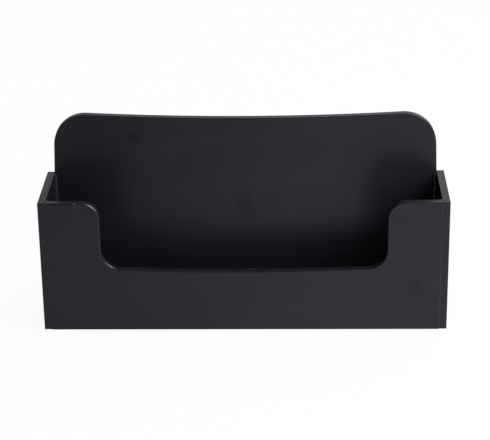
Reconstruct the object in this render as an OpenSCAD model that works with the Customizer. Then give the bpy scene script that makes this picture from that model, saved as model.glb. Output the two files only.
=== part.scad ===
// Counter-top napkin dispenser, cut from acrylic sheet and cemented edge to face. Its back
// panel is warmed and bowed before it goes in, so that it presses the napkins forward.
// X runs to the right, Y to the back and Z up. The origin is under the middle of the
// whole object, on the surface that its feet stand on. All lengths are in millimetres.

/* [Overall] */
// Width over the two side panels
width = 240; // [180:1:320]
// Depth of the side panels along their top edges
top_depth = 51.7; // [40:0.1:90]
// Height of the front and side panels
wall_height = 81.5; // [72:0.5:95]
// Height of the back panel
back_height = 119.8; // [112:0.1:160]
// Lean of the back panel behind upright, in degrees
back_lean = 3; // [0:0.5:10]

/* [Sheet] */
// Thickness of the sheet that every panel is cut from
sheet = 4.5; // [3:0.1:6]
// Film of cement between two panels
cement = 0.1; // [0.05:0.05:0.3]
// Round on the outer rear edge of each side panel
rear_round = 1.6; // [0.5:0.1:2.5]

/* [Front opening] */
// Width of the front that stands full height at each end
tab_width = 35.8; // [28:0.1:60]
// Height of the opening's sill at its middle
sill_height = 37.9; // [25:0.1:45]
// Radius of the opening's lower corners
sill_corner_r = 12; // [5:0.5:16]
// Radius that rolls the top of each tab over into the opening
tab_corner_r = 10.7; // [5:0.1:14]
// Radius of the shallow sweep along the sill
sill_sweep_r = 1800; // [900:50:4000]

/* [Back panel] */
// How far the middle of the panel bows forward of its ends
back_bow = 10.5; // [2:0.5:16]
// Radius of the top corners
crest_r = 20.5; // [10:0.5:25]
// How far each side edge runs in between the side panel and the top corner
run_in = 0.6; // [0.1:0.1:4]

/* [Feet] */
// Diameter of a bumper foot where it is stuck on
foot_d = 8; // [6:0.5:12]
// Height of a bumper foot
foot_h = 2; // [1:0.1:4]
// Round on the foot's lower edge
foot_edge_r = 0.8; // [0.3:0.1:0.9]
// Narrowing of the foot from its stuck face to its lower edge
foot_taper = 0.4; // [0.1:0.1:0.8]
// Distance from the outside of the walls to the middle of a foot
foot_inset = 14; // [12:0.5:20]

/* [Hidden] */

sheet_black = "#1c1d20";
rubber_black = "#101012";

// Facets of small and of very large circles
$fn = 96;
sweep_fn = 2880;
// Length by which a cutting shape passes the face that it cuts
overcut = 2;
// Depth at which a straight edge ends inside the arc that it runs into, so that they join in one line
arc_sink = 0.001;

inner_half = width / 2 - sheet - cement;

// Back panel: its rear face is an arc in plan, from the rear edge of one side panel to the other
bow_r = (pow(inner_half, 2) + pow(back_bow, 2)) / (2 * back_bow);
crest_x = inner_half - run_in - crest_r;
crest_z = back_height - crest_r;
// Each side edge runs from the top of the side panel to touch the corner's arc
edge_run = [inner_half - crest_x, wall_height - crest_z];
edge_angle = atan2(edge_run[1], edge_run[0]) + acos(crest_r / norm(edge_run));
// Reach of the bowed shell past the panel's level upper and lower edges
shell_reach = (back_bow + sheet) * tan(back_lean) + overcut;

// Distance of the back panel's rear face forward of its ends, at a distance from the middle
function bow_at(x) = sqrt(pow(bow_r, 2) - pow(x, 2)) - bow_r + back_bow;

// Plan: the whole depth reaches back to where a top corner stands furthest behind
rear_foot_run = top_depth - wall_height * tan(back_lean);
corner_reach = [for (angle = [edge_angle:90]) let (at = [crest_x, crest_z] + polar(crest_r, angle))
    at[1] * tan(back_lean) - bow_at(at[0]) / cos(back_lean)];
whole_depth = rear_foot_run + max(corner_reach);
front_y = -whole_depth / 2;
front_inner_y = front_y + sheet;
rear_bottom_y = front_y + rear_foot_run;
rear_top_y = front_y + top_depth;

// Front opening: the sill is an arc struck from above, tangent to both lower corners
opening_half = width / 2 - tab_width;
sill_corner_x = opening_half - sill_corner_r;
sill_centre_z = sill_height + sill_sweep_r;
sill_corner_z = sill_centre_z - sqrt(pow(sill_sweep_r - sill_corner_r, 2) - pow(sill_corner_x, 2));
sill_angle = asin(sill_corner_x / (sill_sweep_r - sill_corner_r));
sill_reach = sill_corner_r + sill_corner_z - sill_height + overcut;

function polar(r, angle) = [r * cos(angle), r * sin(angle)];

// The part of the opening below its lower corners' middles
module sill_sweep() {
    below = [for (side = [1, -1])
        [side * sill_corner_x, sill_corner_z] + polar(sill_reach, -90 + side * sill_angle)];
    intersection() {
        polygon([[-sill_corner_x, sill_corner_z], [sill_corner_x, sill_corner_z], below[0], below[1]]);
        translate([0, sill_centre_z]) circle(r = sill_sweep_r, $fn = sweep_fn);
    }
}

// The rolled-over top corner of the right-hand tab, as the material to take away
module tab_roll() {
    difference() {
        translate([opening_half - overcut, wall_height - tab_corner_r])
            square([tab_corner_r + overcut, tab_corner_r + overcut]);
        translate([opening_half + tab_corner_r, wall_height - tab_corner_r]) circle(r = tab_corner_r);
    }
}

module opening_outline() {
    sill_sweep();
    translate([-opening_half, sill_corner_z])
        square([2 * opening_half, wall_height - sill_corner_z + overcut]);
    for (side = [0, 1]) mirror([side, 0]) {
        translate([sill_corner_x, sill_corner_z]) circle(r = sill_corner_r);
        tab_roll();
    }
}

module front_outline() {
    difference() {
        translate([-inner_half, 0]) square([2 * inner_half, wall_height]);
        opening_outline();
    }
}

module back_outline() {
    touch = [crest_x, crest_z] + polar(crest_r - arc_sink, edge_angle);
    polygon([
        [-inner_half, 0], [inner_half, 0], [inner_half, wall_height], touch,
        [crest_x, crest_z], [crest_x, back_height], [-crest_x, back_height], [-crest_x, crest_z],
        [-touch[0], touch[1]], [-inner_half, wall_height]
    ]);
    for (side = [-1, 1]) translate([side * crest_x, crest_z]) circle(r = crest_r);
}

// Leaning round block whose front lies a distance in front of the back panel's rear face
module bow_block(forward) {
    translate([0, rear_bottom_y, foot_h])
    rotate([-back_lean, 0, 0])
    translate([0, bow_r - back_bow, -shell_reach])
    cylinder(r = bow_r + forward, h = back_height / cos(back_lean) + 2 * shell_reach, $fn = sweep_fn);
}

// What comes off the outer rear edge of the right-hand side panel to round it
module rear_edge_cut() {
    translate([width / 2, rear_bottom_y, foot_h])
    rotate([-back_lean, 0, 0])
    translate([-rear_round, -rear_round, -overcut])
    linear_extrude(wall_height / cos(back_lean) + 2 * overcut)
    difference() {
        square(rear_round + overcut);
        circle(r = rear_round);
    }
}

// Right-hand side panel: upright front edge, rear edge cut to the back panel's lean
module side_panel() {
    color(sheet_black)
    difference() {
        translate([width / 2 - sheet, 0, foot_h])
        rotate([90, 0, 90])
        linear_extrude(sheet)
        polygon([[front_y, 0], [rear_bottom_y, 0], [rear_top_y, wall_height], [front_y, wall_height]]);
        rear_edge_cut();
    }
}

module left_side() {
    mirror([1, 0, 0]) side_panel();
}

module right_side() {
    side_panel();
}

module front_panel() {
    color(sheet_black)
    translate([0, front_inner_y, foot_h])
    rotate([90, 0, 0])
    linear_extrude(sheet)
    front_outline();
}

// Back panel: its outline cut through the bowed and leaning shell, from the front
module back_panel() {
    color(sheet_black)
    intersection() {
        translate([0, whole_depth, foot_h]) rotate([90, 0, 0]) linear_extrude(2 * whole_depth) back_outline();
        difference() {
            bow_block(sheet);
            bow_block(0);
        }
    }
}

// Floor of the pocket, its rear edge cut to the back panel's bow and lean
module base_panel() {
    start_y = front_inner_y + cement;
    color(sheet_black)
    difference() {
        translate([-inner_half, start_y, foot_h]) cube([2 * inner_half, rear_bottom_y - start_y, sheet]);
        bow_block(sheet + cement);
    }
}

// Moulded bumper, stuck on by its wider face
module foot(side, middle_y) {
    lower_r = foot_d / 2 - foot_taper;
    color(rubber_black)
    translate([side * (width / 2 - foot_inset), middle_y, 0])
    rotate_extrude() {
        polygon([[0, foot_edge_r], [lower_r, foot_edge_r], [foot_d / 2, foot_h], [0, foot_h]]);
        square([lower_r - foot_edge_r, foot_edge_r]);
        intersection() {
            translate([lower_r - foot_edge_r, foot_edge_r]) circle(r = foot_edge_r);
            square([foot_d, foot_h]);
        }
    }
}

front_feet_y = front_y + foot_inset;
rear_feet_y = rear_bottom_y - foot_inset;

left_side();
right_side();
front_panel();
back_panel();
base_panel();
foot(-1, front_feet_y);  // foot_front_left
foot(1, front_feet_y);  // foot_front_right
foot(-1, rear_feet_y);  // foot_rear_left
foot(1, rear_feet_y);  // foot_rear_right
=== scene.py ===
"""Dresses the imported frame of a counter-top napkin dispenser that is cut from black acrylic sheet."""

import math

import bpy
from bpy.props import FloatProperty, FloatVectorProperty, IntProperty, PointerProperty
from mathutils import Matrix, Vector


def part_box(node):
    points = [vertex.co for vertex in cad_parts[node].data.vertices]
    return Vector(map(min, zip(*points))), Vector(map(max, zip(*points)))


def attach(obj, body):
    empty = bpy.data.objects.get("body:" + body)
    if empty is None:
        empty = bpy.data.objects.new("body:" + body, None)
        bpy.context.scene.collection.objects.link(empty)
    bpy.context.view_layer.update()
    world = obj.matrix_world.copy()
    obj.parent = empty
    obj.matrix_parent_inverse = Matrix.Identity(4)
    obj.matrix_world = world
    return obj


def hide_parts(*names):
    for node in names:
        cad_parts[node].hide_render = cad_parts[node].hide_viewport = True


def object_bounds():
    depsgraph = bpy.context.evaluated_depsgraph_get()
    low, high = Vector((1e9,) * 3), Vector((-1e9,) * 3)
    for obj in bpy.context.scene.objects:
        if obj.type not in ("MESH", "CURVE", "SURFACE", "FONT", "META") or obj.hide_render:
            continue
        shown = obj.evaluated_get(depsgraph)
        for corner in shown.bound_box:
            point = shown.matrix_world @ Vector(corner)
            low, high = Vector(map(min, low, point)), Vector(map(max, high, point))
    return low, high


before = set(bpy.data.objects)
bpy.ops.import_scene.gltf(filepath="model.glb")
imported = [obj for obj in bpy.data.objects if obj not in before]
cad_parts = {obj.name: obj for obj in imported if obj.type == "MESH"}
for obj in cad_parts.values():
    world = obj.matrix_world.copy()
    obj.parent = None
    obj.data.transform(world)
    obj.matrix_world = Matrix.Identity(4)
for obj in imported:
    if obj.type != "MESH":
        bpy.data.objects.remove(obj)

bl_info = {
    "name": "Napkin dispenser",
    "version": (1, 0, 0),
    "blender": (4, 5, 0),
    "location": "View3D > Sidebar > Dispenser",
    "description": "Sheet panels, cement joints, rubber feet and a white studio for a napkin dispenser",
    "category": "Add Mesh",
}

MM = 0.001
BODY = "root"
CAD_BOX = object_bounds()

# The frame gives the panels' places
RIGHT = Vector((1, 0, 0))
BACK = Vector((0, 1, 0))
UP = Vector((0, 0, 1))
SIDE_LOW, SIDE_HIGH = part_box("left_side")
FRONT_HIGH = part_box("front_panel")[1]
BASE_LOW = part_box("base_panel")[0]
SHEET = SIDE_HIGH.x - SIDE_LOW.x
HALF_WIDTH = -SIDE_LOW.x
INNER_HALF = FRONT_HIGH.x
WALL_BOTTOM = SIDE_LOW.z
WALL_HEIGHT = SIDE_HIGH.z - SIDE_LOW.z
FOOT_NODES = ["foot_front_left", "foot_front_right", "foot_rear_left", "foot_rear_right"]

# Fineness of the meshes: degrees and length of one step round an arc, and steps across an arris and a cove
ARC_STEP = 5.0
ARC_CHORD = 6 * MM
ARRIS_STEPS = 4
COVE_STEPS = 8
# Distance within which two points of an outline are one
SAME_POINT = 0.001 * MM
# Share of its radius by which a cove of cement laps into the sheets and past its arc
COVE_LAP = 0.05
# Least forward part of the normal on a face that counts as a front end
FRONT_FACING = 0.7

ACRYLIC_IOR = 1.49
# Share of the cells on the sheet that hold a speck of dust
SPECK_SHARE = 0.14
# Share of a mark's half sizes up to which it keeps its full strength
MARK_CORE = 0.2
# Marks, in millimetres: middle, half sizes, turn about Y in degrees, and strength
FINGER_MARKS_AND_REFLECTION = (
    # The first mark, in the middle of the back panel, is the camera's dark reflection painted in; the
    # others are finger marks
    ((0, 9, 68), (10, 5, 17), -20, 0.9),
    ((20, 10, 77), (10, 5, 13), 0, 0.3),
    ((-35, 11, 95), (12, 5, 16), 0, 0.3),
    ((-67, 14, 109), (9, 5, 4), 20, 0.6),
    ((101, -26, 31), (8, 4, 9), 0, 0.75),
)
# Pale marks: a patch on the right side panel's inner face, a spot in the middle of the sill's edge, and a
# painted glint on the left tab's front arris
SCUFFS_AND_GLINT = (
    ((115.5, 4, 76), (2, 8, 6), 0, 1.0),
    ((5.4, -21.8, 40), (4, 1.5, 1.5), 0, 1.0),
    ((-98.3, -26, 83.4), (1.2, 1.2, 1.2), 0, 1.0),
)

# Share of the paper's brightness that is a steady glow: the rest takes the shadow
PAPER_GLOW = 0.94
# Parts of a unit direction between which the left turns into the right, and the room into the backdrop
LEFT_TO_RIGHT = (-0.3, 0.3)
ROOM_TO_BACKDROP = (0.35, 0.75)


def linear(hex_code):
    """Linear colour of an sRGB hex value, with full alpha."""
    shares = [int(hex_code[i:i + 2], 16) / 255 for i in (1, 3, 5)]
    return (*[s / 12.92 if s <= 0.04045 else ((s + 0.055) / 1.055) ** 2.4 for s in shares], 1.0)


def length(name, description, millimetres):
    """Property for a length, shown in the scene's units."""
    return FloatProperty(name=name, description=description, default=millimetres * MM, min=0.0,
                         precision=5, unit="LENGTH")


def angle(name, description, degrees):
    """Property for an angle, shown in degrees."""
    return FloatProperty(name=name, description=description, default=math.radians(degrees),
                         precision=3, subtype="ANGLE", unit="ROTATION")


def colour(name, description, hex_code):
    """Property for a colour."""
    return FloatVectorProperty(name=name, description=description, default=linear(hex_code),
                               size=4, min=0.0, max=1.0, subtype="COLOR")


def position(name, description, metres):
    """Property for a place in the studio."""
    return FloatVectorProperty(name=name, description=description, default=metres,
                               precision=5, unit="LENGTH")


def optic(name, description, millimetres):
    """Property for a length inside the camera."""
    return FloatProperty(name=name, description=description, default=millimetres, min=1.0, unit="CAMERA")


def power(name, description, watts):
    """Property for the power of a lamp."""
    return FloatProperty(name=name, description=description, default=watts, min=0.0, unit="POWER")


def brightness(name, description, level):
    """Property for how bright something shines: one is white."""
    return FloatProperty(name=name, description=description, default=level, min=0.0)


class PanelSizes(bpy.types.PropertyGroup):
    """Sizes of the sheet panels that the frame's boxes don't give."""

    back_lean: angle("Back lean", "Lean of the back panel behind upright", 3)
    back_height: length("Back height", "Height of the back panel", 119.8)
    back_bow: length("Back bow", "How far the middle of the back panel bows forward of its ends", 10.5)
    tab_width: length("Tab width", "Width of the front that stands full height at each end", 35.8)
    sill_height: length("Sill height", "Height of the opening's sill at its middle", 37.9)
    sill_corner: length("Sill corner", "Radius of the opening's lower corners", 12)
    sill_sweep: length("Sill sweep", "Radius of the shallow sweep along the sill", 1800)
    tab_corner: length("Tab corner", "Radius that rolls each tab's top over into the opening", 10.7)
    crest_corner: length("Crest corner", "Radius of the back panel's top corners", 20.5)
    run_in: length("Run in", "How far the back's side edge runs in up to its top corner", 0.6)
    rear_round: length("Rear round", "Round on the outer rear edge of each side panel", 1.6)
    eased_left: length("Eased left", "Round on the front panel's outer arris at its left tab", 1.1)
    eased_right: length("Eased right", "Round on the front panel's outer arris at its right tab", 0.5)
    end_round: length("End round", "Round on the corners of the side panels", 0.7)
    end_arris: length("End arris", "Round on the outer front arrises of the side panels", 0.35)
    crest_front: length("Crest front", "Round on the front arris of the back panel", 0.45)
    crest_rear: length("Crest rear", "Round on the rear arris of the back panel", 0.15)
    scraped_round: length("Scraped round", "Round on the arrises of scraped and cemented edges", 0.15)
    scraped_corner: length("Scraped corner", "Round on the square corners of a panel's outline", 0.35)
    seam_left: length("Seam left", "Round on the front panel's upright arris in the left joint", 0.12)
    seam_right: length("Seam right", "Round on the front panel's upright arris in the right joint", 0.04)
    flush_round: length("Flush round", "Round on the side panels' arrises in those joints", 0.04)
    cement: length("Cement", "Film of cement between two panels", 0.1)
    cove: length("Cement cove", "Radius of the hollow fillet of cement along an inside joint", 2.6)
    film_sink: length("Film sink", "Depth of the film of cement below the front in a joint", 0.02)


class FootSizes(bpy.types.PropertyGroup):
    """Sizes of the rubber feet that the frame's boxes don't give."""

    edge_round: length("Edge round", "Round on the foot's lower edge", 0.8)
    taper: length("Taper", "Narrowing of the foot from its stuck face to its lower edge", 0.4)
    sides: IntProperty(name="Sides", description="Flats round one foot", default=48, min=8)


class Finishes(bpy.types.PropertyGroup):
    """Colours of the materials."""

    sheet: colour("Sheet", "Black pigment of the acrylic", "#191a1f")
    haze: colour("Haze", "Thin film left by wiping and handling", "#1e1f24")
    gloss: colour("Gloss", "Cool cast of the acrylic's gloss", "#ebeeff")
    # The dust colour is also the pale of the painted highlight in the right-hand joint's cement
    dust_and_highlight: colour("Dust", "Specks of lint and dust", "#6a6b6f")
    # Also darkens the middle of the back panel as a painted reflection of the camera
    grease_and_reflection: colour("Grease", "Finger marks that darken the matt face", "#08080a")
    # Also the colour of a painted glint on the left tab's front arris
    scuff_and_glint: colour("Scuff", "Pale scuffs where things rub", "#4a4b52")
    rubber: colour("Rubber", "Black of the moulded feet", "#131314")
    paper: colour("Paper", "White studio paper", "#ffffff")


class StudioSetup(bpy.types.PropertyGroup):
    """Camera, lamps and surroundings."""

    camera_place: position("Camera place", "Where the camera stands", (0.02833, -0.9779, 0.47904))
    camera_pitch: angle("Camera pitch", "How far the camera looks down", 23.1004)
    camera_yaw: angle("Camera yaw", "How far the camera turns to the left", 1.6504)
    camera_roll: angle("Camera roll", "How far the camera tips", -0.8303)
    lens: optic("Lens", "Focal length of the camera", 130.7)
    sensor: optic("Sensor", "Width of the camera's sensor", 36.0)
    key_place: position("Key place", "Where the softbox on the right stands", (0.927, -0.602, 0.774))
    key_size: length("Key size", "Width and height of the softbox on the right", 550)
    key_power: power("Key power", "Power of the softbox on the right", 5.2)
    glint_place: position("Glint place", "Where the lamp for the front's glints stands", (0.89, 0.38, 0.95))
    glint_width: length("Glint width", "Width of the lamp for the front's glints", 500)
    glint_height: length("Glint height", "Height of the lamp for the front's glints", 950)
    glint_power: power("Glint power", "Power of the lamp for the front's glints", 41.0)
    glow_left: brightness("Glow left", "Soft light from the left half of the room", 0.0)
    glow_right: brightness("Glow right", "Soft light from the right half of the room", 1.75)
    pool_place: position("Pool place", "Middle of the pool of light on the floor", (0.45, -0.12, 0.0))
    pool_reach: length("Pool reach", "Distance up to which the pool is full", 413)
    pool_level: brightness("Pool level", "Brightness of the full pool", 0.73)
    backdrop_left: brightness("Backdrop left", "Brightness of the backdrop's left in gloss", 0.3)
    backdrop_right: brightness("Backdrop right", "Brightness of the backdrop's right in gloss", 0.75)
    room: brightness("Room", "Brightness of the room in front, as a share of the backdrop's", 0.05)
    floor_reach: length("Floor reach", "Distance from the middle of the floor to its edges", 4000)


def even(radius):
    """The same round on the arrises of both faces of a sheet."""
    return Vector((radius, radius))


def arc(centre, radius, start, end, ease, end_ease=None, hollow=False):
    """Outline points along an arc: place, direction out of the sheet and round of its two arrises there.

    The round changes evenly along the arc if another is given for its end."""
    turn = math.radians(end - start)
    steps = max(2, math.ceil(abs(end - start) / ARC_STEP), math.ceil(abs(turn) * radius / ARC_CHORD))
    points = []
    for i in range(steps + 1):
        at = math.radians(start) + turn * i / steps
        way = Vector((math.cos(at), math.sin(at)))
        out = -way if hollow else way
        points.append((Vector(centre) + way * radius, out, ease.lerp(end_ease or ease, i / steps)))
    return points


def joined(*stretches):
    """Outline stretches as one list, without the points that two of them share."""
    points = []
    for point in [p for stretch in stretches for p in stretch]:
        if not points or (point[0] - points[-1][0]).length > SAME_POINT:
            points.append(point)
    return points


def both_halves(right, left=None):
    """Closed outline from its right-hand half, which runs from the bottom up to the middle of the top.

    A left-hand half whose arrises differ is drawn on the right too, and mirrored here."""
    mirrored = [(Vector((-p.x, p.y)), Vector((-out.x, out.y)), ease)
                for p, out, ease in reversed(left or right) if p.x > SAME_POINT]
    return right + mirrored


def square_cut(corners, corner_round, eases):
    """Closed outline of a straight-sided panel with slightly rounded corners, given anticlockwise.

    The edge that starts at each corner has its own round of arrises, and these blend at the corners."""
    points = []
    for i, corner in enumerate(corners):
        before = (corners[i - 1] - corner).normalized()
        after = (corners[(i + 1) % len(corners)] - corner).normalized()
        half = before.angle(after) / 2
        centre = corner + (before + after).normalized() * (corner_round / math.sin(half))
        start = math.degrees(math.atan2(-before.x, before.y)) + 180
        end = start + 180 - math.degrees(2 * half)
        points += arc(centre, corner_round, start, end, eases[i - 1], eases[i])
    return points


def upright_strips(right, shared):
    """Faces that fill the outline made of a right-hand half and its mirror image, as upright strips.

    The half's first and last few points share their places across the panel, in pairs from its two ends."""
    last = len(right) - 1
    faces = [(i, i + 1, last - i - 1, last - i) for i in range(shared - 1)]
    faces.append(tuple(range(shared - 1, last - shared + 2)))
    mirrored = {i: i if right[i][0].x <= SAME_POINT else 2 * last - i for i in range(last + 1)}
    return faces + [tuple(mirrored[i] for i in reversed(face)) for face in faces]


def ring_faces(count, rings):
    """Faces between rings of so many points each, which follow one another."""
    faces = []
    for start in range(0, count * (rings - 1), count):
        for i in range(count):
            j = (i + 1) % count
            faces.append((start + i, start + j, start + count + j, start + count + i))
    return faces


def material_slots(mesh, *materials):
    """Gives a mesh its materials, in order."""
    for material in materials:
        mesh.materials.append(material)


def shown(name, mesh):
    """Object for a mesh, in the scene."""
    piece = bpy.data.objects.new(name, mesh)
    bpy.context.scene.collection.objects.link(piece)
    return piece


def plate(name, outline, thickness, place, materials, filled=None, bend=None):
    """Sheet panel from an outline, with a material for its two faces and one for its edge.

    The edge's arrises are rounded, and the faces are flat unless a bend is given."""
    quarter = [k * math.pi / 2 / ARRIS_STEPS for k in range(ARRIS_STEPS + 1)]
    rings = [(-1, a) for a in reversed(quarter)] + [(1, a) for a in quarter]
    turn = place.to_3x3()
    points, normals = [], []
    for side, a in rings:
        face_level = thickness if side > 0 else 0.0
        for p, out, eases in outline:
            ease = eases[1] if side > 0 else eases[0]
            flat = p - out * ease * (1 - math.cos(a))
            drawn = Vector((flat.x, flat.y, face_level - side * ease * (1 - math.sin(a))))
            normal = Vector((*(out * math.cos(a)), side * math.sin(a)))
            if bend:
                drawn, normal = bend(drawn, normal)
            points.append(place @ drawn)
            normals.append(turn @ normal)
    count = len(outline)
    edge = ring_faces(count, len(rings))
    caps = []
    last_ring = len(points) - count
    for face in filled or [tuple(range(count))]:
        caps.append(tuple(reversed(face)))
        caps.append(tuple(last_ring + i for i in face))
    mesh = bpy.data.meshes.new(name)
    mesh.from_pydata(points, [], edge + caps)
    material_slots(mesh, *materials)
    mesh.polygons.foreach_set("material_index", [1] * len(edge) + [0] * len(caps))
    mesh.shade_smooth()
    mesh.normals_split_custom_set_from_vertices([n.normalized() for n in normals])
    return shown(name, mesh)


def axes(across, up, origin):
    """Placing of a panel that is drawn in a plane and thickens towards the viewer."""
    return Matrix.Translation(origin) @ Matrix((across, up, across.cross(up))).transposed().to_4x4()


def fitted(piece, slot, *nodes):
    """Sets a piece on the frame in place of the nodes that it stands for."""
    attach(piece, BODY)
    if nodes:
        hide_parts(*nodes)


def add(tree, kind, inputs=(), **settings):
    """Adds a node with its settings, and links or sets each of the inputs that are named."""
    node = tree.nodes.new(kind)
    for name, value in settings.items():
        setattr(node, name, value)
    for key, value in dict(inputs).items():
        if isinstance(value, bpy.types.NodeSocket):
            tree.links.new(value, node.inputs[key])
        else:
            node.inputs[key].default_value = value
    return node


def new_material(name):
    """New material, its node tree and the object's own coordinates in it."""
    material = bpy.data.materials.new(name)
    material.use_nodes = True
    tree = material.node_tree
    tree.nodes.clear()
    return material, tree, add(tree, "ShaderNodeTexCoord").outputs["Object"]


def per(millimetres):
    """Texture scale for a feature of that size."""
    return 1 / (millimetres * MM)


def marked(tree, coords, marks):
    """Strength of soft and patchy marks at their places: zero away from them."""
    total = 0.0
    for middle, half, turn, strength in marks:
        local = add(tree, "ShaderNodeMapping", {
            "Vector": coords, "Location": Vector(middle) * MM,
            "Rotation": (0.0, math.radians(turn), 0.0), "Scale": Vector(half) * MM},
            vector_type="TEXTURE")
        away = add(tree, "ShaderNodeVectorMath", {0: local.outputs["Vector"]}, operation="LENGTH")
        mark = add(tree, "ShaderNodeMapRange", {
            "Value": away.outputs["Value"], "From Min": MARK_CORE, "From Max": 1.0, "To Min": strength,
            "To Max": 0.0}, interpolation_type="SMOOTHSTEP")
        most = add(tree, "ShaderNodeMath", {0: mark.outputs["Result"], 1: total}, operation="MAXIMUM")
        total = most.outputs["Value"]
    # A mark breaks up into patches of about 3 mm
    patches = add(tree, "ShaderNodeTexNoise", {"Vector": coords, "Scale": per(3), "Detail": 2.0})
    share = add(tree, "ShaderNodeMapRange", {
        "Value": patches.outputs["Fac"], "From Min": 0.35, "From Max": 0.65, "To Min": 0.5,
        "To Max": 1.0})
    patchy = add(tree, "ShaderNodeMath", {0: total, 1: share.outputs["Result"]}, operation="MULTIPLY")
    return patchy.outputs["Value"]


def dust_specks(tree, coords):
    """Where specks of dust lie: about half a millimetre across, in a few of the cells of 11 mm."""
    cells = add(tree, "ShaderNodeTexVoronoi", {"Vector": coords, "Scale": per(11)}, feature="F1")
    near = add(tree, "ShaderNodeMapRange", {
        "Value": cells.outputs["Distance"], "From Min": 0.02, "From Max": 0.032, "To Min": 1.0,
        "To Max": 0.0})
    lottery = add(tree, "ShaderNodeSeparateColor", {"Color": cells.outputs["Color"]})
    drawn = add(tree, "ShaderNodeMath", {
        0: lottery.outputs["Red"], 1: 1 - SPECK_SHARE}, operation="GREATER_THAN")
    specks = add(tree, "ShaderNodeMath", {
        0: near.outputs["Result"], 1: drawn.outputs["Value"]}, operation="MULTIPLY")
    return specks.outputs["Value"]


def coated(tree, ground, *coats):
    """Colour of a ground under its coats, each of which is a strength and a colour."""
    for strength, tone in coats:
        mixed = add(tree, "ShaderNodeMix", {"Factor": strength, "A": ground, "B": tone}, data_type="RGBA")
        ground = mixed.outputs["Result"]
    return ground


def satin_acrylic(finishes):
    """Black cast acrylic sheet with a fine matt face.

    The face gives a soft, dim mirror image of what stands near it. Wiping leaves broad, hardly visible
    smears, and a few specks of dust lie on it."""
    name = "satin_black_cast_acrylic"
    if name in bpy.data.materials:
        return bpy.data.materials[name]
    material, tree, coords = new_material(name)
    # Strokes about 60 mm long and 18 mm high, in noise whose own grid is turned away from the edges
    strokes = add(tree, "ShaderNodeMapping", {
        "Vector": coords, "Rotation": (0.0, math.radians(32), 0.0),
        "Scale": (per(60), per(40), per(18))})
    smear = add(tree, "ShaderNodeTexNoise", {
        "Vector": strokes.outputs["Vector"], "Scale": 1.0, "Detail": 4.0,
        "Roughness": 0.55}).outputs["Fac"]
    film = add(tree, "ShaderNodeMapRange", {"Value": smear, "From Min": 0.45, "From Max": 0.75})
    gloss = add(tree, "ShaderNodeMapRange", {
        "Value": smear, "From Min": 0.3, "From Max": 0.75, "To Min": 0.34, "To Max": 0.42})
    tone = coated(tree, finishes.sheet,
                  (film.outputs["Result"], finishes.haze),
                  # Finger marks, and a painted dark reflection of the camera in the middle of the back
                  # panel
                  (marked(tree, coords, FINGER_MARKS_AND_REFLECTION), finishes.grease_and_reflection),
                  # Pale marks, one of which is a painted glint on the left tab's front arris
                  (marked(tree, coords, SCUFFS_AND_GLINT), finishes.scuff_and_glint),
                  (dust_specks(tree, coords), finishes.dust_and_highlight))
    # The sheet has waves of about 70 mm. Its matt grain is about 0.1 mm, drawn at 0.8 mm so that it shows
    wave = add(tree, "ShaderNodeTexNoise", {"Vector": coords, "Scale": per(70), "Detail": 1.0})
    waved = add(tree, "ShaderNodeBump", {
        "Height": wave.outputs["Fac"], "Strength": 0.3, "Distance": 0.08 * MM})
    grain = add(tree, "ShaderNodeTexNoise", {"Vector": coords, "Scale": per(0.8), "Detail": 2.0})
    bump = add(tree, "ShaderNodeBump", {
        "Height": grain.outputs["Fac"], "Strength": 0.25, "Distance": 0.01 * MM,
        "Normal": waved.outputs["Normal"]})
    shader = add(tree, "ShaderNodeBsdfPrincipled", {
        "Base Color": tone, "Specular Tint": finishes.gloss, "Roughness": gloss.outputs["Result"],
        "IOR": ACRYLIC_IOR, "Normal": bump.outputs["Normal"]})
    add(tree, "ShaderNodeOutputMaterial", {"Surface": shader.outputs["BSDF"]})
    return material


def sanded_edge(finishes):
    """The same acrylic where its edge was sawn, scraped and wet sanded.

    It has a soft sheen, a little glossier than the faces, and its eased arrises carry a thin glint."""
    name = "wet_sanded_acrylic_edge"
    if name in bpy.data.materials:
        return bpy.data.materials[name]
    material, tree, coords = new_material(name)
    # Hand sanding leaves ripples of about 14 mm
    noise = add(tree, "ShaderNodeTexNoise", {"Vector": coords, "Scale": per(14), "Detail": 1.0})
    ripple = noise.outputs["Fac"]
    gloss = add(tree, "ShaderNodeMapRange", {
        "Value": ripple, "From Min": 0.3, "From Max": 0.7, "To Min": 0.25, "To Max": 0.32})
    tone = coated(tree, finishes.sheet,
                  (ripple, finishes.haze),
                  # Pale marks, one of which is a painted glint on the left tab's front arris
                  (marked(tree, coords, SCUFFS_AND_GLINT), finishes.scuff_and_glint))
    bump = add(tree, "ShaderNodeBump", {"Height": ripple, "Strength": 0.1, "Distance": 0.05 * MM})
    shader = add(tree, "ShaderNodeBsdfPrincipled", {
        "Base Color": tone, "Specular Tint": finishes.gloss, "Roughness": gloss.outputs["Result"],
        "IOR": ACRYLIC_IOR, "Normal": bump.outputs["Normal"]})
    add(tree, "ShaderNodeOutputMaterial", {"Surface": shader.outputs["BSDF"]})
    return material


def sheet_materials(finishes):
    """Materials of a sheet's faces and of its edge."""
    return satin_acrylic(finishes), sanded_edge(finishes)


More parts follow.
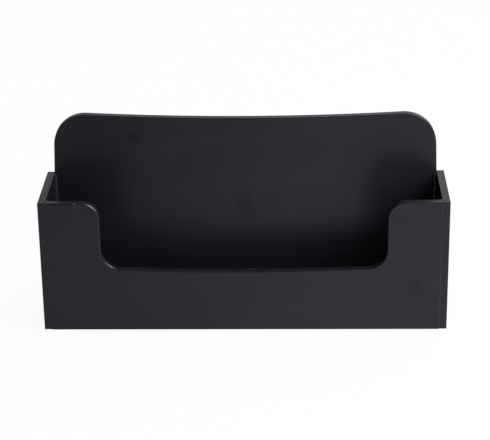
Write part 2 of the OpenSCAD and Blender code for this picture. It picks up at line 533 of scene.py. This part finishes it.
def acrylic_cement(finishes):
    """Dried fillet of black acrylic cement.

    It skins over glossy, with small swells along its length."""
    name = "dried_acrylic_cement"
    if name in bpy.data.materials:
        return bpy.data.materials[name]
    material, tree, coords = new_material(name)
    # The swells are about 4 mm long
    noise = add(tree, "ShaderNodeTexNoise", {"Vector": coords, "Scale": per(4), "Detail": 2.0})
    swell = noise.outputs["Fac"]
    tone = coated(tree, finishes.sheet, (swell, finishes.haze))
    bump = add(tree, "ShaderNodeBump", {"Height": swell, "Strength": 0.4, "Distance": 0.1 * MM})
    shader = add(tree, "ShaderNodeBsdfPrincipled", {
        "Base Color": tone, "Roughness": 0.25, "IOR": ACRYLIC_IOR, "Normal": bump.outputs["Normal"]})
    add(tree, "ShaderNodeOutputMaterial", {"Surface": shader.outputs["BSDF"]})
    return material


def cement_with_painted_highlight(finishes):
    """Film of acrylic cement with a painted highlight.

    Its pale colour is painted: it stands for the light from the right that the right-hand joint catches,
    and shows as a light hairline in the black joint."""
    material, tree, coords = new_material("acrylic_cement_with_painted_highlight")
    # The painted highlight comes and goes about every 8 mm
    noise = add(tree, "ShaderNodeTexNoise", {"Vector": coords, "Scale": per(8), "Detail": 2.0})
    painted_highlight = noise.outputs["Fac"]
    tone = coated(tree, finishes.haze, (painted_highlight, finishes.dust_and_highlight))
    shader = add(tree, "ShaderNodeBsdfPrincipled", {
        "Base Color": tone, "Roughness": 0.4, "IOR": ACRYLIC_IOR})
    add(tree, "ShaderNodeOutputMaterial", {"Surface": shader.outputs["BSDF"]})
    return material


def moulded_rubber(finishes):
    """Black polyurethane rubber, moulded.

    It is matt and soft looking, with a fine pebbled skin."""
    material, tree, coords = new_material("moulded_bumper_rubber")
    # The pebbles are about 0.5 mm across, and the worn patches about 3 mm
    pebble = add(tree, "ShaderNodeTexVoronoi", {"Vector": coords, "Scale": per(0.5)})
    noise = add(tree, "ShaderNodeTexNoise", {"Vector": coords, "Scale": per(3), "Detail": 2.0})
    worn = noise.outputs["Fac"]
    tone = coated(tree, finishes.rubber, (worn, finishes.haze))
    matt = add(tree, "ShaderNodeMapRange", {"Value": worn, "To Min": 0.6, "To Max": 0.85})
    bump = add(tree, "ShaderNodeBump", {
        "Height": pebble.outputs["Distance"], "Strength": 0.4, "Distance": 0.1 * MM})
    shader = add(tree, "ShaderNodeBsdfPrincipled", {
        "Base Color": tone, "Roughness": matt.outputs["Result"], "IOR": 1.52,
        "Normal": bump.outputs["Normal"]})
    add(tree, "ShaderNodeOutputMaterial", {"Surface": shader.outputs["BSDF"]})
    return material


def rear_foot(sizes):
    """Y of the side panels' rear edges at the bottom."""
    return SIDE_HIGH.y - WALL_HEIGHT * math.tan(sizes.back_lean)


def bow_radius(sizes):
    """Radius of the back panel's rear face in plan."""
    return (INNER_HALF ** 2 + sizes.back_bow ** 2) / (2 * sizes.back_bow)


def seat_y(sizes, x, height):
    """Y of the back panel's front face at a place across it and a height above the panels' lower edges."""
    radius = bow_radius(sizes)
    forward = math.sqrt((radius + SHEET) ** 2 - x ** 2) - radius + sizes.back_bow
    return rear_foot(sizes) + height * math.tan(sizes.back_lean) - forward / math.cos(sizes.back_lean)


def bowed(sizes):
    """Bend that stands the drawn back panel up with its lean and its bow, and leaves its edges level."""
    lean = sizes.back_lean
    radius = bow_radius(sizes)

    def bend(point, normal):
        around = radius + point.z
        deep = math.sqrt(around ** 2 - point.x ** 2)
        forward = deep - radius + sizes.back_bow
        face = Vector((point.x, -deep * math.cos(lean), deep * math.sin(lean))) / around
        place = Vector((point.x, point.y * math.tan(lean) - forward / math.cos(lean), point.y))
        return place, Vector((normal.x, 0, normal.y)) + face * normal.z

    return bend


class SidePanels(bpy.types.Operator):
    """Make the two side panels, upright in front and cut to the back's lean behind"""

    bl_idname = "dispenser.side_panels"
    bl_label = "Side panels"

    def execute(self, context):
        sizes, finishes = context.scene.panel_sizes, context.scene.finishes
        scraped = even(sizes.scraped_round)
        rear = Vector((sizes.rear_round, sizes.scraped_round))
        front = Vector((sizes.end_arris, sizes.flush_round))
        corners = [Vector((SIDE_LOW.y, 0)), Vector((rear_foot(sizes), 0)),
                   Vector((SIDE_HIGH.y, WALL_HEIGHT)), Vector((SIDE_LOW.y, WALL_HEIGHT))]
        left_eases = [scraped, rear, scraped, front]
        right_eases = [ease.yx for ease in left_eases]
        for node, start_x, eases in (("left_side", -HALF_WIDTH, left_eases),
                                     ("right_side", HALF_WIDTH - SHEET, right_eases)):
            outline = square_cut(corners, sizes.end_round, eases)
            place = axes(BACK, UP, Vector((start_x, 0, WALL_BOTTOM)))
            piece = plate(node + "_sheet", outline, SHEET, place, sheet_materials(finishes))
            # The front ends are sanded flush with the front panel, to the same satin
            for face in piece.data.polygons:
                if face.normal.y < -FRONT_FACING:
                    face.material_index = 0
            fitted(piece, "satin_acrylic", node)
        return {"FINISHED"}


class FrontPanel(bpy.types.Operator):
    """Make the front panel, with the opening swept out of its top"""

    bl_idname = "dispenser.front_panel"
    bl_label = "Front panel"

    def execute(self, context):
        sizes, finishes = context.scene.panel_sizes, context.scene.finishes
        opening_half = HALF_WIDTH - sizes.tab_width
        corner, roll, cut = sizes.sill_corner, sizes.tab_corner, sizes.scraped_corner
        # The sill is an arc struck from above, tangent to both lower corners
        corner_x = opening_half - corner
        sweep_z = sizes.sill_height + sizes.sill_sweep
        corner_z = sweep_z - math.sqrt((sizes.sill_sweep - corner) ** 2 - corner_x ** 2)
        sill_angle = math.degrees(math.asin(corner_x / (sizes.sill_sweep - corner)))
        middle = Vector((sizes.scraped_round, (sizes.eased_left + sizes.eased_right) / 2))
        outer_rounds = ((sizes.eased_right, sizes.seam_right), (sizes.eased_left, sizes.seam_left))
        halves = []
        for eased_round, seam_round in outer_rounds:
            eased = Vector((sizes.scraped_round, eased_round))
            seam = Vector((sizes.scraped_round, seam_round))
            halves.append(joined(
                arc((INNER_HALF - cut, cut), cut, -90, 0, seam),
                arc((INNER_HALF - cut, WALL_HEIGHT - cut), cut, 0, 90, seam),
                [(Vector((INNER_HALF - 2 * cut, WALL_HEIGHT)), Vector((0, 1)), eased)],
                arc((opening_half + roll, WALL_HEIGHT - roll), roll, 90, 180, eased),
                arc((corner_x, corner_z), corner, 0, sill_angle - 90, eased, hollow=True),
                arc((0, sweep_z), sizes.sill_sweep, sill_angle - 90, -90, eased, middle, hollow=True),
            ))
        place = axes(RIGHT, UP, Vector((0, FRONT_HIGH.y, WALL_BOTTOM)))
        piece = plate("front_sheet", both_halves(*halves), SHEET, place, sheet_materials(finishes))
        fitted(piece, "satin_acrylic", "front_panel")
        return {"FINISHED"}


class BackPanel(bpy.types.Operator):
    """Make the tall back panel, bowed and leaning, with round top corners"""

    bl_idname = "dispenser.back_panel"
    bl_label = "Back panel"

    def execute(self, context):
        sizes, finishes = context.scene.panel_sizes, context.scene.finishes
        corner, scraped = sizes.crest_corner, even(sizes.scraped_round)
        eased = Vector((sizes.crest_rear, sizes.crest_front))
        crest_x = INNER_HALF - sizes.run_in - corner
        crest_z = sizes.back_height - corner
        # Each side edge runs from the top of the side panel to touch the corner's arc
        run = Vector((INNER_HALF - crest_x, WALL_HEIGHT - crest_z))
        edge_angle = math.degrees(math.atan2(run.y, run.x) + math.acos(corner / run.length))
        half_turn = math.radians(edge_angle / 2)
        steps = math.ceil(crest_x / ARC_CHORD)
        straight = [(Vector((crest_x * i / steps, sizes.back_height)), Vector((0, 1)), eased)
                    for i in reversed(range(steps))]
        top = arc((crest_x, crest_z), corner, edge_angle, 90, eased) + straight
        below = [(Vector((p.x, 0)), Vector((0, -1)), scraped) for p, _, _ in reversed(top)]
        shoulder_out = Vector((math.cos(half_turn), math.sin(half_turn)))
        sides = [(Vector((INNER_HALF, 0)), Vector((1, -1)).normalized(), scraped),
                 (Vector((INNER_HALF, WALL_HEIGHT)), shoulder_out, eased)]
        right = below + sides + top
        place = Matrix.Translation((0, rear_foot(sizes), WALL_BOTTOM))
        piece = plate("back_sheet", both_halves(right), SHEET, place, sheet_materials(finishes),
                      upright_strips(right, len(top)), bowed(sizes))
        fitted(piece, "satin_acrylic", "back_panel")
        return {"FINISHED"}


class BasePanel(bpy.types.Operator):
    """Make the floor of the pocket, its rear edge cut to the back's bow"""

    bl_idname = "dispenser.base_panel"
    bl_label = "Base panel"

    def execute(self, context):
        sizes, finishes = context.scene.panel_sizes, context.scene.finishes
        cut, scraped = sizes.scraped_corner, even(sizes.scraped_round)
        radius = bow_radius(sizes) + SHEET + sizes.cement
        rear_y = seat_y(sizes, 0, 0) - sizes.cement
        half_angle = math.degrees(math.asin(INNER_HALF / radius))
        right = joined(
            [(Vector((0, BASE_LOW.y)), Vector((0, -1)), scraped)],
            arc((INNER_HALF - cut, BASE_LOW.y + cut), cut, -90, 0, scraped),
            arc((0, rear_y + radius), radius, half_angle - 90, -90, scraped, hollow=True),
        )
        place = axes(RIGHT, BACK, Vector((0, 0, WALL_BOTTOM)))
        piece = plate("base_sheet", both_halves(right), SHEET, place, sheet_materials(finishes))
        fitted(piece, "satin_acrylic", "base_panel")
        return {"FINISHED"}


def node_group(name, **inputs):
    """New geometry tree with a mesh coming in, a mesh going out and the named inputs between."""
    tree = bpy.data.node_groups.new(name, "GeometryNodeTree")
    tree.interface.new_socket("Geometry", in_out="OUTPUT", socket_type="NodeSocketGeometry")
    tree.interface.new_socket("Geometry", in_out="INPUT", socket_type="NodeSocketGeometry")
    for label, kind in inputs.items():
        tree.interface.new_socket(label, in_out="INPUT", socket_type=kind)
    return tree, add(tree, "NodeGroupInput").outputs


def ended(tree, geometry, finish):
    """Ends a geometry tree with real faces in their finish."""
    real = add(tree, "GeometryNodeRealizeInstances", {"Geometry": geometry})
    finished = add(tree, "GeometryNodeSetMaterial", {
        "Geometry": real.outputs["Geometry"], "Material": finish})
    add(tree, "NodeGroupOutput", {"Geometry": finished.outputs["Geometry"]})
    return tree


def grown(piece, tree, **values):
    """Runs a geometry tree on a piece with those inputs, and keeps the result as its plain mesh."""
    modifier = piece.modifiers.new(tree.name, "NODES")
    modifier.node_group = tree
    for item in tree.interface.items_tree:
        if item.in_out == "INPUT" and item.name in values:
            modifier[item.identifier] = values[item.name]
    evaluated = piece.evaluated_get(bpy.context.evaluated_depsgraph_get())
    mesh = bpy.data.meshes.new_from_object(evaluated)
    piece.modifiers.clear()
    piece.data = mesh
    mesh.name = piece.name


def foot_mesh(name, sizes, radius, height):
    """One moulded foot about the upright axis, with a tapered side and a rounded lower edge."""
    edge = sizes.edge_round
    rounded = arc((radius - sizes.taper - edge, edge), edge, -90, 0, even(0.0))
    profile = [p for p, _, _ in rounded] + [Vector((radius, height))]
    points = []
    for p in profile:
        for i in range(sizes.sides):
            at = 2 * math.pi * i / sizes.sides
            points.append((p.x * math.cos(at), p.x * math.sin(at), p.y))
    faces = ring_faces(sizes.sides, len(profile))
    caps = [tuple(reversed(range(sizes.sides))), tuple(range(len(points) - sizes.sides, len(points)))]
    mesh = bpy.data.meshes.new(name)
    mesh.from_pydata(points, [], faces + caps)
    mesh.polygons.foreach_set("use_smooth", [True] * len(faces) + [False] * len(caps))
    return mesh


def feet_tree():
    """Geometry tree that sets a foot at each corner of a rectangle."""
    tree, given = node_group("feet_at_corners", Across="NodeSocketFloat", Deep="NodeSocketFloat",
                             Middle="NodeSocketVector", Finish="NodeSocketMaterial")
    corners = add(tree, "GeometryNodeMeshGrid", {
        "Size X": given["Across"], "Size Y": given["Deep"], "Vertices X": 2, "Vertices Y": 2})
    moved = add(tree, "GeometryNodeTransform", {
        "Geometry": corners.outputs["Mesh"], "Translation": given["Middle"]})
    feet = add(tree, "GeometryNodeInstanceOnPoints", {
        "Points": moved.outputs["Geometry"], "Instance": given["Geometry"]})
    return ended(tree, feet.outputs["Instances"], given["Finish"])


class RubberFeet(bpy.types.Operator):
    """Make the four stuck-on rubber feet"""

    bl_idname = "dispenser.rubber_feet"
    bl_label = "Rubber feet"

    def execute(self, context):
        sizes, finishes = context.scene.foot_sizes, context.scene.finishes
        boxes = [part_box(node) for node in FOOT_NODES]
        first, last = [(low + high) / 2 for low, high in (boxes[0], boxes[-1])]
        middle = (first + last) / 2
        low, high = boxes[-1]
        name = "bumper_feet"
        piece = shown(name, foot_mesh(name, sizes, (high.x - low.x) / 2, high.z - low.z))
        grown(piece, feet_tree(), Across=last.x - first.x, Deep=last.y - first.y,
              Middle=(middle.x, middle.y, 0.0), Finish=moulded_rubber(finishes))
        fitted(piece, "bumper_rubber", *FOOT_NODES)
        return {"FINISHED"}


class SeamFilms(bpy.types.Operator):
    """Make the films of cement that show as seams on the front"""

    bl_idname = "dispenser.seam_films"
    bl_label = "Seam films"

    def execute(self, context):
        sizes, finishes = context.scene.panel_sizes, context.scene.finishes
        half = sizes.cement / 2
        bottom, top = sizes.scraped_round, WALL_HEIGHT - sizes.end_round
        corners = [Vector(at) for at in ((-half, bottom), (half, bottom), (half, top), (-half, top))]
        outline = square_cut(corners, half / 2, [even(half / 2)] * len(corners))
        depth = SHEET - 2 * sizes.film_sink
        # The right-hand film's pale colour is a painted highlight; the left-hand film is plain cement
        for name, x, film in (("left_seam_film", -INNER_HALF - half, acrylic_cement(finishes)),
                              ("right_seam_film", INNER_HALF + half, cement_with_painted_highlight(finishes))):
            place = axes(RIGHT, UP, Vector((x, FRONT_HIGH.y - sizes.film_sink, WALL_BOTTOM)))
            piece = plate(name, outline, depth, place, (film, film))
            fitted(piece, "satin_acrylic")
        return {"FINISHED"}


def cove_runs(sizes):
    """Runs of cement along the pocket's inside joints.

    Each has its points in the corner, and the ways along the two faces that meet there."""
    side_x = HALF_WIDTH - SHEET
    front_y = FRONT_HIGH.y
    floor_z = WALL_BOTTOM + SHEET
    top_z = WALL_BOTTOM + WALL_HEIGHT - sizes.scraped_round
    rear_floor_y = seat_y(sizes, side_x, SHEET)
    rear_top_y = seat_y(sizes, side_x, WALL_HEIGHT - sizes.scraped_round)
    steps = 2 * math.ceil(side_x / ARC_CHORD)
    across = [side_x * (2 * i / steps - 1) for i in range(steps + 1)]
    runs = [([(-side_x, front_y, floor_z), (side_x, front_y, floor_z)], BACK, UP),
            ([(x, seat_y(sizes, x, SHEET), floor_z) for x in across], -BACK, UP)]
    for x in (-side_x, side_x):
        inward = RIGHT if x < 0 else -RIGHT
        runs.append(([(x, front_y, floor_z), (x, front_y, top_z)], BACK, inward))
        runs.append(([(x, rear_floor_y, floor_z), (x, rear_top_y, top_z)], -BACK, inward))
        runs.append(([(x, front_y, floor_z), (x, rear_floor_y, floor_z)], inward, UP))
    return runs


def corner_lines(name, runs):
    """Mesh of lines along the runs, each of which knows the way along its first face.

    A line is turned round where the second face would otherwise lie on its wrong side."""
    points, edges, ways = [], [], []
    for run, first_way, second_way in runs:
        along = Vector(run[-1]) - Vector(run[0])
        if along.cross(first_way).dot(second_way) < 0:
            run = run[::-1]
        edges += [(len(points) + i, len(points) + i + 1) for i in range(len(run) - 1)]
        points += run
        ways += [first_way] * len(run)
    mesh = bpy.data.meshes.new(name)
    mesh.from_pydata(points, edges, [])
    first_face = mesh.attributes.new("first_face", "FLOAT_VECTOR", "POINT")
    first_face.data.foreach_set("vector", [c for way in ways for c in way])
    return mesh


def cove_tree():
    """Geometry tree that lays a hollow fillet along lines in corners."""
    tree, given = node_group("cove_along_corners", Radius="NodeSocketFloat", Finish="NodeSocketMaterial")
    lines = add(tree, "GeometryNodeMeshToCurve", {"Mesh": given["Geometry"]})
    way = add(tree, "GeometryNodeInputNamedAttribute", {"Name": "first_face"}, data_type="FLOAT_VECTOR")
    turned = add(tree, "GeometryNodeSetCurveNormal", {
        "Curve": lines.outputs["Curve"], "Normal": way.outputs["Attribute"]}, mode="FREE")
    # The section, at a radius of one: its third corner lies in the joint and is hollowed out
    tip = 1 + COVE_LAP
    wedge = add(tree, "GeometryNodeCurvePrimitiveQuadrilateral", {
        "Point 1": (-COVE_LAP, -COVE_LAP, 0.0), "Point 2": (tip, 0.0, 0.0), "Point 3": (0.0, 0.0, 0.0),
        "Point 4": (0.0, tip, 0.0)}, mode="POINTS")
    index = add(tree, "GeometryNodeInputIndex")
    third = add(tree, "FunctionNodeCompare", {
        "A": index.outputs["Index"], "B": 2}, data_type="INT", operation="EQUAL")
    hollowed = add(tree, "GeometryNodeFilletCurve", {
        "Curve": wedge.outputs["Curve"], "Count": COVE_STEPS, "Radius": third.outputs["Result"]},
        mode="POLY")
    section = add(tree, "GeometryNodeTransform", {
        "Geometry": hollowed.outputs["Curve"], "Scale": given["Radius"]})
    coves = add(tree, "GeometryNodeCurveToMesh", {
        "Curve": turned.outputs["Curve"], "Fill Caps": True,
        "Profile Curve": section.outputs["Geometry"]})
    crisp = add(tree, "GeometryNodeSetShadeSmooth", {
        "Geometry": coves.outputs["Mesh"], "Shade Smooth": False})
    return ended(tree, crisp.outputs["Geometry"], given["Finish"])


class CementCoves(bpy.types.Operator):
    """Make the hollow fillets of cement along the pocket's inside joints"""

    bl_idname = "dispenser.cement_coves"
    bl_label = "Cement coves"

    def execute(self, context):
        sizes, finishes = context.scene.panel_sizes, context.scene.finishes
        name = "cement_coves"
        piece = shown(name, corner_lines(name, cove_runs(sizes)))
        grown(piece, cove_tree(), Radius=sizes.cove, Finish=acrylic_cement(finishes))
        fitted(piece, "satin_acrylic")
        return {"FINISHED"}


def studio_paper(finishes, setup):
    """White studio paper, in reflections lit by a pool of light on the right that fades with distance."""
    material, tree, coords = new_material("white_studio_paper")
    away = add(tree, "ShaderNodeVectorMath", {0: coords, 1: setup.pool_place}, operation="DISTANCE")
    near = add(tree, "ShaderNodeMath", {0: setup.pool_reach, 1: away.outputs["Value"]}, operation="DIVIDE")
    # Light falls off with the square of the distance
    spread = add(tree, "ShaderNodeMath", {0: near.outputs["Value"], 1: 2.0}, operation="POWER")
    capped = add(tree, "ShaderNodeMath", {0: spread.outputs["Value"], 1: 1.0}, operation="MINIMUM")
    pool = add(tree, "ShaderNodeMath", {
        0: capped.outputs["Value"], 1: setup.pool_level}, operation="MULTIPLY")
    path = add(tree, "ShaderNodeLightPath").outputs
    level = add(tree, "ShaderNodeMix", {
        "Factor": path["Is Camera Ray"], "A": pool.outputs["Value"], "B": 1.0})
    glow = add(tree, "ShaderNodeEmission", {"Color": finishes.paper, "Strength": level.outputs["Result"]})
    paper = add(tree, "ShaderNodeBsdfDiffuse", {"Color": finishes.paper})
    direct = add(tree, "ShaderNodeMath", {
        0: path["Is Camera Ray"], 1: path["Is Glossy Ray"]}, operation="MAXIMUM")
    seen = add(tree, "ShaderNodeMath", {
        0: direct.outputs["Value"], 1: path["Is Transmission Ray"]}, operation="MAXIMUM")
    share = add(tree, "ShaderNodeMath", {0: seen.outputs["Value"], 1: PAPER_GLOW}, operation="MULTIPLY")
    mixed = add(tree, "ShaderNodeMixShader", {
        0: share.outputs["Value"], 1: paper.outputs["BSDF"], 2: glow.outputs["Emission"]})
    add(tree, "ShaderNodeOutputMaterial", {"Surface": mixed.outputs["Shader"]})
    return material


def studio_world(finishes, setup):
    """White surroundings: full white to the eye, and a soft glow as light.

    In reflections they are a backdrop behind the object and a dim room in front of it."""
    world = bpy.data.worlds.new("white_studio")
    bpy.context.scene.world = world
    world.use_nodes = True
    tree = world.node_tree
    tree.nodes.clear()
    way = add(tree, "ShaderNodeTexCoord").outputs["Generated"]
    along = add(tree, "ShaderNodeSeparateXYZ", {"Vector": way}).outputs
    left, right = LEFT_TO_RIGHT
    glow = add(tree, "ShaderNodeMapRange", {
        "Value": along["X"], "From Min": left, "From Max": right, "To Min": setup.glow_left,
        "To Max": setup.glow_right})
    backdrop = add(tree, "ShaderNodeMapRange", {
        "Value": along["X"], "From Min": left, "From Max": right, "To Min": setup.backdrop_left,
        "To Max": setup.backdrop_right})
    room, behind = ROOM_TO_BACKDROP
    fade = add(tree, "ShaderNodeMapRange", {
        "Value": along["Y"], "From Min": room, "From Max": behind, "To Min": setup.room, "To Max": 1.0})
    mirrored = add(tree, "ShaderNodeMath", {
        0: backdrop.outputs["Result"], 1: fade.outputs["Result"]}, operation="MULTIPLY")
    path = add(tree, "ShaderNodeLightPath").outputs
    bounced = add(tree, "ShaderNodeMath", {
        0: path["Is Glossy Ray"], 1: path["Is Transmission Ray"]}, operation="MAXIMUM")
    lit = add(tree, "ShaderNodeMix", {
        "Factor": bounced.outputs["Value"], "A": glow.outputs["Result"], "B": mirrored.outputs["Value"]})
    level = add(tree, "ShaderNodeMix", {
        "Factor": path["Is Camera Ray"], "A": lit.outputs["Result"], "B": 1.0})
    sky = add(tree, "ShaderNodeBackground", {"Color": finishes.paper, "Strength": level.outputs["Result"]})
    add(tree, "ShaderNodeOutputWorld", {"Surface": sky.outputs["Background"]})


def softbox(name, place, aim, width, height, watts):
    """Upright area lamp that faces a point."""
    lamp = bpy.data.lights.new(name, "AREA")
    lamp.shape = "RECTANGLE"
    lamp.size = width
    lamp.size_y = height
    lamp.energy = watts
    holder = bpy.data.objects.new(name, lamp)
    holder.location = place
    holder.rotation_euler = (aim - Vector(place)).to_track_quat("-Z", "Y").to_euler()
    bpy.context.scene.collection.objects.link(holder)
    return holder


def studio_camera(setup):
    """Camera in front of the object, above it and a little to its right."""
    camera = bpy.data.cameras.new("camera")
    camera.sensor_width = setup.sensor
    camera.lens = setup.lens
    holder = bpy.data.objects.new("camera", camera)
    bpy.context.scene.collection.objects.link(holder)
    holder.matrix_world = (Matrix.Translation(setup.camera_place)
                           @ Matrix.Rotation(setup.camera_yaw, 4, "Z")
                           @ Matrix.Rotation(math.pi / 2 - setup.camera_pitch, 4, "X")
                           @ Matrix.Rotation(setup.camera_roll, 4, "Z"))
    return holder


class Studio(bpy.types.Operator):
    """Make the white floor, the lamps and the camera"""

    bl_idname = "dispenser.studio"
    bl_label = "Studio"

    def execute(self, context):
        setup, finishes = context.scene.studio_setup, context.scene.finishes
        reach = setup.floor_reach
        corners = [(-reach, -reach, 0), (reach, -reach, 0), (reach, reach, 0), (-reach, reach, 0)]
        floor = bpy.data.meshes.new("floor")
        floor.from_pydata(corners, [], [(0, 1, 2, 3)])
        material_slots(floor, studio_paper(finishes, setup))
        shown("floor", floor)
        studio_world(finishes, setup)
        middle = (CAD_BOX[0] + CAD_BOX[1]) / 2
        softbox("key", setup.key_place, middle, setup.key_size, setup.key_size, setup.key_power)
        glint = softbox("glint", setup.glint_place, middle, setup.glint_width, setup.glint_height,
                        setup.glint_power)
        # A flag keeps this lamp off all but the front panel, so that no other edge burns out from the left
        lit = bpy.data.collections.new("glint_lit")
        lit.objects.link(bpy.data.objects["front_sheet"])
        glint.light_linking.receiver_collection = lit
        glint.visible_diffuse = False
        context.scene.camera = studio_camera(setup)
        context.scene.view_settings.view_transform = "Standard"
        return {"FINISHED"}


class DispenserTools(bpy.types.Panel):
    """Sidebar panel with the makers of the pieces and the sizes that they use"""

    bl_idname = "VIEW3D_PT_dispenser"
    bl_label = "Napkin dispenser"
    bl_space_type = "VIEW_3D"
    bl_region_type = "UI"
    bl_category = "Dispenser"

    def draw(self, context):
        for maker in MAKERS:
            self.layout.operator(maker.bl_idname)
        for name in GROUPS:
            group = getattr(context.scene, name)
            box = self.layout.box()
            for prop in group.bl_rna.properties:
                if not prop.is_readonly and prop.identifier != "name":
                    box.prop(group, prop.identifier)


MAKERS = (SidePanels, FrontPanel, BackPanel, BasePanel, RubberFeet, SeamFilms, CementCoves, Studio)
GROUPS = {
    "panel_sizes": PanelSizes,
    "foot_sizes": FootSizes,
    "finishes": Finishes,
    "studio_setup": StudioSetup,
}


def register():
    for name, group in GROUPS.items():
        bpy.utils.register_class(group)
        setattr(bpy.types.Scene, name, PointerProperty(type=group))
    for cls in (*MAKERS, DispenserTools):
        bpy.utils.register_class(cls)


def unregister():
    for cls in (DispenserTools, *reversed(MAKERS)):
        bpy.utils.unregister_class(cls)
    for name, group in GROUPS.items():
        delattr(bpy.types.Scene, name)
        bpy.utils.unregister_class(group)


def main():
    register()
    bpy.ops.dispenser.side_panels()
    bpy.ops.dispenser.front_panel()
    bpy.ops.dispenser.back_panel()
    bpy.ops.dispenser.base_panel()
    bpy.ops.dispenser.rubber_feet()
    bpy.ops.dispenser.seam_films()
    bpy.ops.dispenser.cement_coves()
    bpy.ops.dispenser.studio()


if __name__ == "__main__":
    main()
